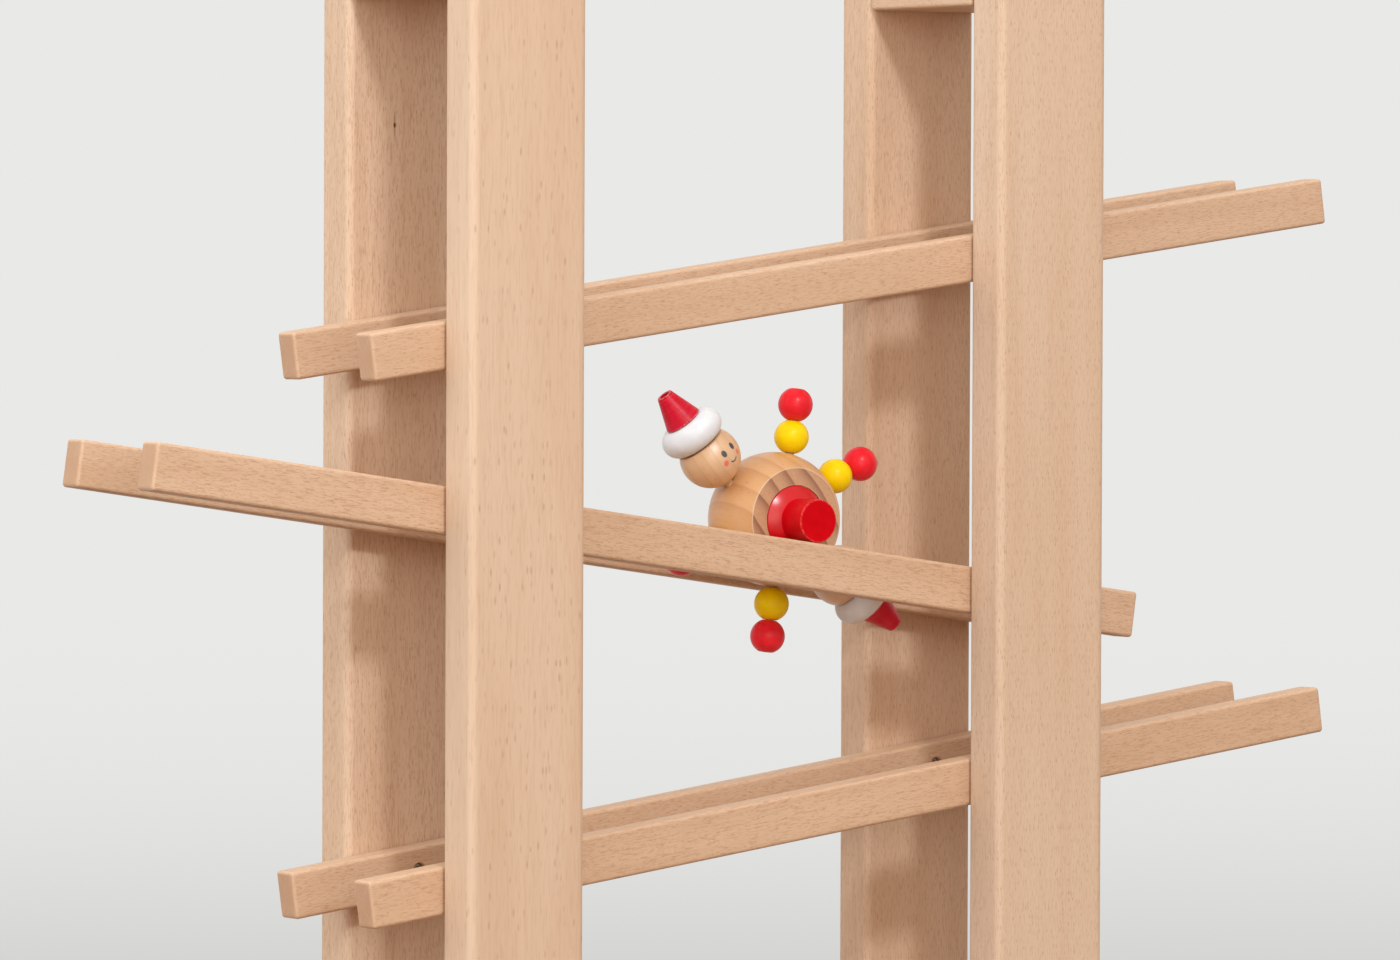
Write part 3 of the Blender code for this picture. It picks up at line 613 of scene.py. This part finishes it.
def lacquer(name, bright, deep, pale_wear_and_sheen, lathe_depth, gloss=0.2, lines=0.0):
    """Opaque lacquer on turned wood: slight drift of tone, lathe rings, paler edges, marked polish.

    The paler edges are partly thin paint and partly a painted highlight.
    """
    material, tree, shader = new_material(name)
    skin = add_node(tree, "ShaderNodeGroup", {"Position": mark_of(tree, "grain_at", "Vector"),
                                              "Rim": mark_of(tree, "rim")}, node_tree=LACQUER_SKIN).outputs
    colour = blended(tree, ramp(tree, skin["Tone"], 0.3, 0.7), bright, deep)
    colour = blended(tree, ramp(tree, skin["Lathe"], 0.5, 0.68, 0.0, lines), colour, pale_wear_and_sheen)
    # Paler edges: partly thin paint, partly a painted highlight.
    colour = blended(tree, maths(tree, "MULTIPLY", skin["Thin And Sheen"], 0.45), colour, pale_wear_and_sheen)
    tree.links.new(colour, shader.inputs["Base Color"])
    tree.links.new(ramp(tree, skin["Lathe"], 0.3, 0.7, 0.3, 0.4), shader.inputs["Roughness"])
    bump = add_node(tree, "ShaderNodeBump", {"Strength": 0.3, "Distance": lathe_depth, "Height": skin["Lathe"]})
    tree.links.new(bump.outputs[0], shader.inputs["Normal"])
    tree.links.new(mark_of(tree, "polish"), shader.inputs["Coat Weight"])
    shader.inputs["Specular IOR Level"].default_value = gloss
    shader.inputs["Coat Roughness"].default_value = 0.25
    return material


LACQUER_SKIN = lacquer_group()
RED = lacquer("red_lacquer_skin", srgb(236, 32, 46), srgb(228, 24, 40), srgb(240, 110, 100), 0.0002)
AXLE_RED = lacquer("axle_red_lacquer", srgb(204, 4, 20), srgb(196, 3, 16), srgb(240, 110, 100), 0.0002,
                   gloss=0.05)
rim_angle, peg_angle = math.acos(HUB_RADIUS / HUB_DOME_RADIUS), math.acos(PEG_RADIUS / HUB_DOME_RADIUS)
dome = arc_points((0, HUB_RIM - HUB_DOME_RADIUS * math.sin(rim_angle)), HUB_DOME_RADIUS, rim_angle, peg_angle,
                  DOME_STEPS)
peg, peg_rim = turned_profile((dome[-2], dome[-1], (PEG_RADIUS, PEG_LENGTH), (CENTRE_RING, PEG_LENGTH)),
                              PEG_ROUNDINGS)
# The peg's end edge gets the paler thin paint and painted highlight; the dome's foot corner gets neither.
peg_rim[:ROUND_STEPS + 4] = 0.0  # the corner at the dome's foot doesn't wear
axle_end = np.vstack(((CENTRE_RING, 0), (HUB_RADIUS, 0), dome[:-2], peg))
axle_rim = np.concatenate((np.zeros(len(axle_end) - len(peg)), peg_rim))


def hub_polish(grid):
    """Mark of an axle end's polish: high on the domed hub, a little on the peg's side and none on its end."""
    height = grid[..., 2]
    on_hub = np.hypot(grid[..., 0], grid[..., 1]) > PEG_RADIUS + PEG_MARGIN
    polish = np.where(on_hub, HUB_POLISH, PEG_POLISH)
    return {"polish": np.where(height > PEG_LENGTH - FACE_MARGIN, 0.0, polish)}


for row, toward in ROWS.items():
    seat = AXLE + (0, toward * HUB_SEAT, 0)
    add_turned(f"axle_peg_{row}", axle_end, axle_rim, place_of((1, 0, 0), (0, 0, 1), (0, toward, 0), seat),
               f"axle_end_{row}", AXLE_RED, hub_polish)


def dowel_material():
    """Bare birch dowel: pale wood with a fine speckle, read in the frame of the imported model."""
    material, tree, shader = new_material("birch_dowel_wood")
    place = add_node(tree, "ShaderNodeTexCoord").outputs["Object"]
    speckle = add_node(tree, "ShaderNodeTexNoise", {"Vector": place, "Scale": 1500.0, "Detail": 3.0}).outputs[0]
    tree.links.new(blended(tree, speckle, srgb(222, 190, 150), srgb(178, 136, 96)), shader.inputs["Base Color"])
    tree.links.new(ramp(tree, speckle, 0.3, 0.7, 0.55, 0.7), shader.inputs["Roughness"])
    return material


DOWEL_WOOD = dowel_material()
for name, node in frame["nodes"].items():
    if "dowel" in name:
        node.material_slots[0].material = DOWEL_WOOD

# Limbs: a yellow and a red wooden bead threaded on a dowel that is glued into the barrel.
# The beads are lacquered balls with small flats where the bore comes out.
LIMB_ANGLES = np.radians((75.9, 29.9, 268.2, 199.0))
LIMB_LEANS = np.radians((5.9, -8.2, -6.4, 0.0))
BEAD_RADIUS = 0.0075
BEAD_BORE = 0.0023
BORE_EDGE = 0.0002
BALL_FLAT = 0.003
SEAT_GAP = 0.0003
BEAD_STEPS = 32


def leaning(angle, lean, side, radius, further=0.0):
    """Place on a dowel whose first ball just clears the barrel, a distance further out from that ball's centre.

    The centre lies on a spoke, at an angle from +X towards +Z. About it the dowel leans off the spoke by one
    angle in the figure's plane and by another towards the front, and its place has Z along the dowel.
    """
    clear = radius * math.cos(max(0.0, math.asin(BALL_FLAT / radius) - math.hypot(lean, side)))
    centre = AXLE + (BARREL_RADIUS + SEAT_GAP + clear) * np.array((math.cos(angle), 0, math.sin(angle)))
    out, back = np.array((math.cos(angle + lean), 0, math.sin(angle + lean))), np.array((0, 1, 0))
    along = out * math.cos(side) - back * math.sin(side)
    aside = back * math.cos(side) + out * math.sin(side)
    return place_of(aside, (out[2], 0, -out[0]), along, centre + along * further)


YELLOW = lacquer("yellow_lacquer_skin", srgb(252, 220, 2), srgb(248, 210, 0), srgb(252, 232, 130), 0.00012,
                 gloss=0.12)
bead_half = math.sqrt(BEAD_RADIUS ** 2 - BALL_FLAT ** 2)
bead_angle = math.asin(bead_half / BEAD_RADIUS)
bead = np.vstack((((BEAD_BORE, 0), (BEAD_BORE, bead_half - BORE_EDGE), (BEAD_BORE + BORE_EDGE, bead_half)),
                  arc_points((0, 0), BEAD_RADIUS, bead_angle, -bead_angle, BEAD_STEPS),
                  ((BEAD_BORE + BORE_EDGE, -bead_half), (BEAD_BORE, BORE_EDGE - bead_half))))
bead_rim = np.zeros(len(bead))
# The bore's rounded edges get the lacquer's paler thin paint and painted highlight.
bead_rim[[2, 3, -3, -2]] = 1.0
for number, (angle, lean) in enumerate(zip(LIMB_ANGLES, LIMB_LEANS), 1):
    for where, further, paint, slot in (("inner", 0.0, YELLOW, "yellow_lacquer"),
                                        ("outer", 2 * bead_half + SEAT_GAP, RED, "red_lacquer")):
        add_turned(f"bead_{number}_{where}", bead, bead_rim, leaning(angle, lean, 0.0, BEAD_RADIUS, further),
                   f"limb_{number}_{where}_bead", paint, wrapped=True)

# Heads: two turned wooden balls with a flat crown for the brim, clear lacquered.
# A small plain face is painted on each: two oval eyes, a smile and round cheeks.
HEAD_ANGLES = {"a": math.radians(140.9), "b": math.radians(324.3)}
HEAD_LEANS = {"a": np.radians((-12.5, -6.2)), "b": np.radians((-3.9, 7.1))}
HEAD_RADIUS = 0.0132
HEAD_CROWN = 0.007371
HEAD_FOOT = 0.012855
CROWN_EDGE = 0.0004
FACE_TURN = math.radians(13)
EYE = {"centre": (2.93, 0.8), "half": (1.2, 1.6), "soft": 0.25}
CHEEK = {"centre": (4.35, -3.1), "half": (1.2, 1.3), "soft": 0.7}
SMILE_DROP, SMILE_RADIUS = 2.6, 2.27
SMILE_LINE, SMILE_ENDS = (0.2, 0.4), (-4.07, -3.77)
HEAD_STEPS = 56


def neck(letter, further=0.0):
    """Place on a head's neck dowel, a distance further out from the ball's centre."""
    return leaning(HEAD_ANGLES[letter], *HEAD_LEANS[letter], HEAD_RADIUS, further)


def face_marks(grid):
    """Position of a head's points in the frame of its face, in millimetres: aside, up and forward."""
    front = np.array((-math.cos(FACE_TURN), math.sin(FACE_TURN), 0))
    aside = np.array((-front[1], front[0], 0))
    return {"face_at": np.stack((grid @ aside, grid[..., 2], grid @ front), -1) * MILLIMETRES}


def oval(tree, across, up, centre, half, soft):
    """Mask of an oval: 1 where the scaled distance from its centre is below 1, with a soft edge."""
    wide = maths(tree, "POWER", maths(tree, "DIVIDE", maths(tree, "SUBTRACT", across, centre[0]), half[0]), 2.0)
    tall = maths(tree, "POWER", maths(tree, "DIVIDE", maths(tree, "SUBTRACT", up, centre[1]), half[1]), 2.0)
    return ramp(tree, maths(tree, "ADD", wide, tall), 1 - soft, 1 + soft, 1.0, 0.0)


def paint_face(material):
    """Paint eyes, smile and cheeks over a head's wood, under a thicker lacquer.

    Each is a mask of the position in the face's frame. Eyes and cheeks are ovals on both sides of the middle,
    and the smile is the lower part of a circle's line.
    """
    tree = material.node_tree
    shader = tree.nodes["Principled BSDF"]
    wood = shader.inputs["Base Color"].links[0].from_socket
    spot = mark_of(tree, "face_at", "Vector")
    aside, up, forward = add_node(tree, "ShaderNodeSeparateXYZ", {0: spot}).outputs
    seen = maths(tree, "GREATER_THAN", forward, 0.0)
    mirrored = maths(tree, "ABSOLUTE", aside)
    eyes = oval(tree, mirrored, up, **EYE)
    cheeks = oval(tree, mirrored, up, **CHEEK)
    across = maths(tree, "POWER", aside, 2.0)
    below = maths(tree, "POWER", maths(tree, "ADD", up, SMILE_DROP), 2.0)
    from_mouth = maths(tree, "SQRT", maths(tree, "ADD", across, below))
    from_line = maths(tree, "ABSOLUTE", maths(tree, "SUBTRACT", from_mouth, SMILE_RADIUS))
    line = ramp(tree, from_line, *SMILE_LINE, 1.0, 0.0)
    smile = maths(tree, "MULTIPLY", line, ramp(tree, up, *SMILE_ENDS, 1.0, 0.0))
    colour = blended(tree, maths(tree, "MULTIPLY", cheeks, maths(tree, "MULTIPLY", seen, 0.9)), wood,
                     srgb(228, 82, 56))
    dark = maths(tree, "MULTIPLY", maths(tree, "MAXIMUM", eyes, smile), seen)
    colour = blended(tree, dark, colour, srgb(26, 20, 18))
    tree.links.new(colour, shader.inputs["Base Color"])
    shader.inputs["Coat Roughness"].default_value = 0.42
    shader.inputs["Coat IOR"].default_value = 1.8


HEAD_WOOD = turned_wood("head_wood", (0.0, 26.0, -54.0), 4.2, srgb(222, 179, 137), srgb(209, 161, 115),
                        srgb(158, 110, 82), 1.0)
paint_face(HEAD_WOOD)
crown_flat = math.sqrt(HEAD_RADIUS ** 2 - HEAD_CROWN ** 2)
foot_flat = math.sqrt(HEAD_RADIUS ** 2 - HEAD_FOOT ** 2)
ball = arc_points((0, 0), HEAD_RADIUS, -math.asin(HEAD_FOOT / HEAD_RADIUS),
                  math.asin(HEAD_CROWN / HEAD_RADIUS), HEAD_STEPS)
head = np.vstack(((foot_flat / 2, -HEAD_FOOT), ball, (crown_flat - CROWN_EDGE, HEAD_CROWN),
                  (crown_flat / 2, HEAD_CROWN)))
for letter in HEAD_ANGLES:
    add_turned(f"ball_head_{letter}", head, np.zeros(len(head)), neck(letter), f"head_{letter}", HEAD_WOOD,
               face_marks)

# Hat brims: thick white-lacquered wooden rings with a full round edge, seated on the heads' flat crowns.
# The neck dowel runs through them into the hat.
BRIM_RADIUS, BRIM_HALF = 0.0142, 0.0061
BRIM_STEPS = 36
BRIM_DISTANCE = HEAD_CROWN + SEAT_GAP + BRIM_HALF
WHITE = lacquer("white_lacquer_skin", srgb(233, 238, 245), srgb(225, 230, 238), srgb(234, 226, 211), 0.00012)
brim_edge = arc_points((BRIM_RADIUS - BRIM_HALF, 0), BRIM_HALF, -math.pi / 2, math.pi / 2, BRIM_STEPS)
brim = np.vstack(((CENTRE_RING, -BRIM_HALF), brim_edge, (CENTRE_RING, BRIM_HALF)))
for letter in HEAD_ANGLES:
    add_turned(f"white_brim_{letter}", brim, np.zeros(len(brim)), neck(letter, BRIM_DISTANCE),
               f"hat_brim_{letter}", WHITE)

# Hats: red-lacquered wooden cones with a cut tip, in whose open bore the neck dowel ends.
# Fine lathe rings show through the lacquer.
HAT_BASE, HAT_TIP, HAT_LENGTH = 0.0084, 0.0035, 0.0141
HAT_BORE, HAT_BORE_DEPTH = 0.0023, 0.0045
HAT_ROUNDINGS = (0.0004, 0.0002, 0.0002, 0.0002)
HAT_DISTANCE = BRIM_DISTANCE + BRIM_HALF + SEAT_GAP
HAT_RED = lacquer("hat_red_lacquer", srgb(210, 2, 47), srgb(198, 1, 39), srgb(240, 170, 165), 0.0006,
                  lines=0.12)
# The cone's rounded edges get the lacquer's paler thin paint and painted highlight.
hat, hat_rim = turned_profile(
    ((CENTRE_RING, 0), (HAT_BASE, 0), (HAT_TIP, HAT_LENGTH), (HAT_BORE, HAT_LENGTH),
     (HAT_BORE, HAT_LENGTH - HAT_BORE_DEPTH), (CENTRE_RING, HAT_LENGTH - HAT_BORE_DEPTH)), HAT_ROUNDINGS)
for letter in HEAD_ANGLES:
    add_turned(f"cone_hat_{letter}", hat, hat_rim, neck(letter, HAT_DISTANCE), f"hat_{letter}", HAT_RED)

# Studio: a wide pale floor that fades into the pale background, greyed nearer in as painted shade, and warm
# even light all round. A small high lamp stands at the front left, broad soft ones at the left and above, and a
# warm fill lamp in front.
FLOOR_RINGS = (0.3, 0.8, 2.0, 4.5, 8.0)
FLOOR_COLUMNS = 96
FLOOR_DROP = 0.0004
BACKGROUND = srgb(233, 233, 231)
AMBIENT, AMBIENT_STRENGTH = (1.0, 0.9, 0.79, 1.0), 0.9
LAMP_AIM = (0, 0, 0.37)


def looked_at(tree):
    """1 for rays from the camera, a mirroring surface or glass, and 0 for those that carry light."""
    rays = add_node(tree, "ShaderNodeLightPath").outputs
    return maths(tree, "MAXIMUM", maths(tree, "MAXIMUM", rays["Is Camera Ray"], rays["Is Glossy Ray"]),
                 rays["Is Transmission Ray"])


def floor_material():
    """Pale matt floor round the object, which further out takes on the background's own colour."""
    material, tree, shader = new_material("pale_floor")
    shader.inputs["Roughness"].default_value = 0.8
    place = add_node(tree, "ShaderNodeTexCoord").outputs["Object"]
    distance = add_node(tree, "ShaderNodeVectorMath", {0: place}, operation="LENGTH").outputs["Value"]
    looked = looked_at(tree)
    tree.links.new(blended(tree, looked, srgb(116, 84, 56), srgb(206, 206, 204)), shader.inputs["Base Color"])
    far = maths(tree, "MULTIPLY", ramp(tree, distance, 0.5, 1.6), looked)
    near = maths(tree, "DIVIDE", 1.0, distance)
    # Painted shade: far out the glow has the background's colour, and nearer in it greys, darker towards the
    # bottom.
    glow_with_painted_shade = blended(tree, ramp(tree, near, 0.1, 0.6), BACKGROUND, srgb(210, 210, 208))
    glow = add_node(tree, "ShaderNodeEmission", {"Color": glow_with_painted_shade})
    mixed = add_node(tree, "ShaderNodeMixShader", {0: far, 1: shader.outputs[0], 2: glow.outputs[0]})
    tree.links.new(mixed.outputs[0], tree.nodes["Material Output"].inputs["Surface"])
    return material


ring = np.linspace(0, 2 * np.pi, FLOOR_COLUMNS + 1)[:-1]
spread = np.stack((np.cos(ring), np.sin(ring), 0 * ring), -1)
rounds = (np.array(FLOOR_RINGS)[:, None, None] * spread - (0, 0, FLOOR_DROP)).reshape(-1, 3)
first = np.arange((len(FLOOR_RINGS) - 1) * FLOOR_COLUMNS).reshape(-1, FLOOR_COLUMNS)
tiles = np.stack((first, np.roll(first, -1, 1)), -1)
tiles = np.concatenate((tiles + FLOOR_COLUMNS, tiles[..., ::-1]), -1).reshape(-1, 4)
floor_mesh = bpy.data.meshes.new("studio_floor")
floor_mesh.from_pydata(rounds.tolist(), [], tiles.tolist() + [list(range(FLOOR_COLUMNS))])
floor_mesh.materials.append(floor_material())
floor = bpy.data.objects.new("studio_floor", floor_mesh)
bpy.context.scene.collection.objects.link(floor)

world = bpy.data.worlds.new("studio_world")
world.use_nodes = True
bpy.context.scene.world = world
sky = world.node_tree
around = sky.nodes["Background"]
around.inputs["Color"].default_value = AMBIENT
around.inputs["Strength"].default_value = AMBIENT_STRENGTH
seen = add_node(sky, "ShaderNodeBackground", {"Color": BACKGROUND, "Strength": 1.0})
both = add_node(sky, "ShaderNodeMixShader", {0: looked_at(sky), 1: around.outputs[0], 2: seen.outputs[0]})
sky.links.new(both.outputs[0], sky.nodes["World Output"].inputs["Surface"])


def add_lamp(name, toward, distance, size, power, colour, mirrored=True):
    """Add a round lamp that shines along a direction on the tower from a distance, shown in gloss or not."""
    lamp = bpy.data.lights.new(name, "AREA")
    lamp.shape = "DISK"
    lamp.size = size
    lamp.energy = power
    lamp.color = colour
    holder = bpy.data.objects.new(name, lamp)
    beam = Vector(toward).normalized()
    holder.location = Vector(LAMP_AIM) - beam * distance
    holder.rotation_euler = beam.to_track_quat("-Z", "Y").to_euler()
    holder.visible_glossy = mirrored
    bpy.context.scene.collection.objects.link(holder)


add_lamp("high_front_lamp", (0.27, 1.0, -0.73), 3.0, 0.34, 34.0, (0.9, 0.97, 1.0))
add_lamp("broad_left_lamp", (0.92, 0.08, -0.4), 1.8, 1.7, 20.0, (0.8, 0.93, 1.0), mirrored=False)
add_lamp("broad_top_lamp", (0.1, 0.2, -1.0), 1.3, 1.6, 2.5, (1.0, 0.98, 0.95), mirrored=False)
add_lamp("front_fill_lamp", (0.4, 0.91, -0.1), 3.0, 1.6, 15.0, (1.0, 0.82, 0.68))

# Camera: a long lens at the height of the middle tracks, left of the front.
# It looks a little down, and its frame is turned by a fraction of a degree.
CAMERA_AZIMUTH = math.radians(33.245)
CAMERA_PITCH = math.radians(1.27)
CAMERA_ROLL = math.radians(0.21)
CAMERA_PLACE = (-1.93442, -2.93790, 0.44657)
CAMERA_LENS = 211.14
SENSOR_WIDTH = 36.0
CAMERA_REACH = 50.0
ahead = np.array((math.sin(CAMERA_AZIMUTH) * math.cos(CAMERA_PITCH),
                  math.cos(CAMERA_AZIMUTH) * math.cos(CAMERA_PITCH), -math.sin(CAMERA_PITCH)))
level = np.array((math.cos(CAMERA_AZIMUTH), -math.sin(CAMERA_AZIMUTH), 0))
upward = np.cross(level, ahead)
right = math.cos(CAMERA_ROLL) * level + math.sin(CAMERA_ROLL) * upward
above = math.cos(CAMERA_ROLL) * upward - math.sin(CAMERA_ROLL) * level
lens = bpy.data.cameras.new("photo_camera")
lens.lens = CAMERA_LENS
lens.sensor_width = SENSOR_WIDTH
lens.sensor_fit = "HORIZONTAL"
lens.clip_end = CAMERA_REACH
camera = bpy.data.objects.new("photo_camera", lens)
camera.matrix_world = Matrix(place_of(right, above, -ahead, CAMERA_PLACE).tolist())
bpy.context.scene.collection.objects.link(camera)
bpy.context.scene.camera = camera
bpy.context.scene.view_settings.view_transform = "Standard"

bpy.context.view_layer.update()
